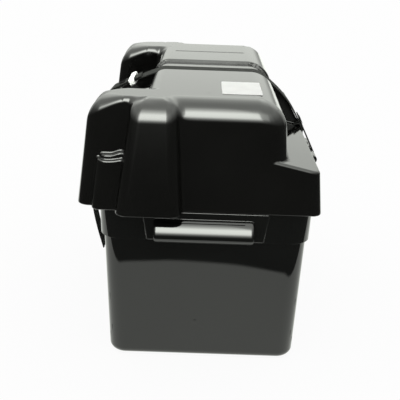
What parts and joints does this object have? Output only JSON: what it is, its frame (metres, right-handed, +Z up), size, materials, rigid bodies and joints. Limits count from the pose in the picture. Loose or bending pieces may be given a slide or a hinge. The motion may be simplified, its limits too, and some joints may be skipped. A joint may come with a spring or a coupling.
{
  "type": "car battery box",
  "caption": "Vented moulded box with a lift-off lid for one car battery, held shut by a webbing strap with a side-release buckle.",
  "frame": {"origin": "middle of the footprint, on the surface that the tray stands on", "axes": "+Z up, +Y along the box's length between the two grips, +X from the buckle side to the folded-strap side"},
  "size_m": [0.2572, 0.3932, 0.2686],
  "materials": {
    "tray_plastic": "black polypropylene, moulded gloss",
    "lid_plastic": "black polypropylene, moulded gloss",
    "webbing": "woven polypropylene webbing",
    "buckle_plastic": "black acetal, fine texture",
    "bright_steel": "bright nickel plate",
    "thread": "bonded black thread",
    "label_film": "bare white film label"
  },
  "bodies": {
    "base": {"base_tray": "tray_plastic"},
    "lid": {"lid_cover": "lid_plastic", "top_label": "label_film"},
    "strap": {"strap_webbing": "webbing", "buckle_socket": "buckle_plastic", "strap_keeper": "bright_steel", "left_stitching": "thread", "right_stitching": "thread"},
    "anchor": {"strap_anchor": "webbing", "buckle_plug": "buckle_plastic", "anchor_stitching": "thread"},
    "tail": {"strap_tail": "webbing"}
  },
  "joints": [
    {"name": "lid_lift", "type": "slide", "parent": "base", "child": "lid", "axis": [0, 0, 1], "range_m": [0, 0.07]},
    {"name": "strap_swing", "type": "hinge", "parent": "base", "child": "strap", "pos_m": [0.12333, 0, 0.1745], "axis": [0, 1, 0], "range_deg": [0, 101]},
    {"name": "anchor_swing", "type": "hinge", "parent": "base", "child": "anchor", "pos_m": [-0.12117, 0, 0.1745], "axis": [0, -1, 0], "range_deg": [0, 51]},
    {"name": "tail_swing", "type": "hinge", "parent": "anchor", "child": "tail", "pos_m": [-0.11916, 0, 0.19864], "axis": [0, 1, 0], "range_deg": [0, 51]}
  ],
  "couplings": [
    {"joint": "strap_swing", "follows": "lid_lift", "rad_per_m": 25},
    {"joint": "anchor_swing", "follows": "lid_lift", "rad_per_m": 12.5},
    {"joint": "tail_swing", "follows": "lid_lift", "rad_per_m": 12.5}
  ]
}
